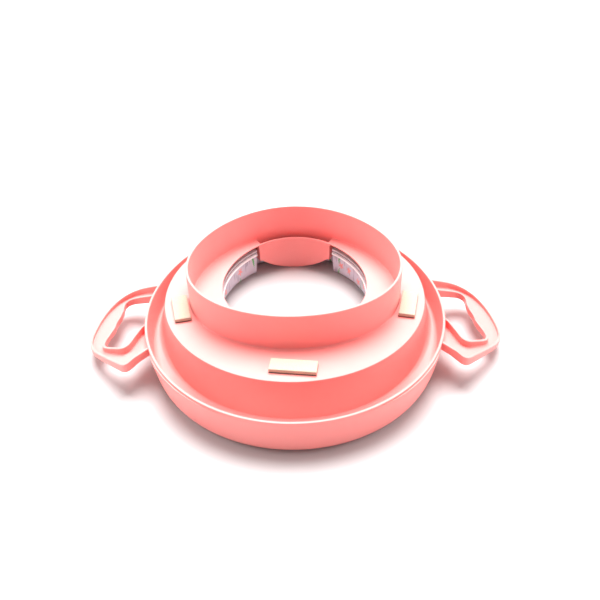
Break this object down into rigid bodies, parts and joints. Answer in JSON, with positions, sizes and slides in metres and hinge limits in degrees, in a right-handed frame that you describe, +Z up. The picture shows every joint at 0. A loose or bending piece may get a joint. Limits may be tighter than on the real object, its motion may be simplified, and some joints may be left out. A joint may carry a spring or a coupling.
{
  "type": "child toilet training seat",
  "caption": "Padded toilet training seat lying upside down: shell with side handles, locating collar, anti-slip pads, splash guard and a lift-off printed cushion.",
  "frame": {"origin": "on the ground under the middle of the bounding box", "axes": "+Z up, with the seat lying upside down: the sitting side faces -Z and the collar and pads face +Z. X runs from handle to handle, and +Y is the end with the splash guard."},
  "size_m": [0.389, 0.332, 0.0727],
  "materials": {
    "shell_plastic": "satin injection-moulded polypropylene, coral pink",
    "backing_plastic": "moulded polypropylene, off-white",
    "cushion_core": "soft open-cell foam, sealed inside the cushion",
    "printed_vinyl": "soft printed vinyl film, pale lilac-grey with a leaf and flower print",
    "pad_foam": "closed-cell foam, cream white, fine cells",
    "tape": "double-sided adhesive foam tape, greyish"
  },
  "bodies": {
    "cushion": {"cushion_backing": "backing_plastic", "cushion_foam": "cushion_core", "cushion_cover": "printed_vinyl"},
    "seat_shell": {"base_shell": "shell_plastic", "pad_front": "pad_foam", "pad_left": "pad_foam", "pad_right": "pad_foam", "pad_rear_left": "pad_foam", "pad_rear_right": "pad_foam", "tape_front": "tape", "tape_left": "tape", "tape_right": "tape", "tape_rear_left": "tape", "tape_rear_right": "tape"}
  },
  "joints": [
    {"name": "cushion_release", "type": "slide", "parent": "cushion", "child": "seat_shell", "axis": [0, 0, 1], "range_m": [0, 0.06]}
  ]
}
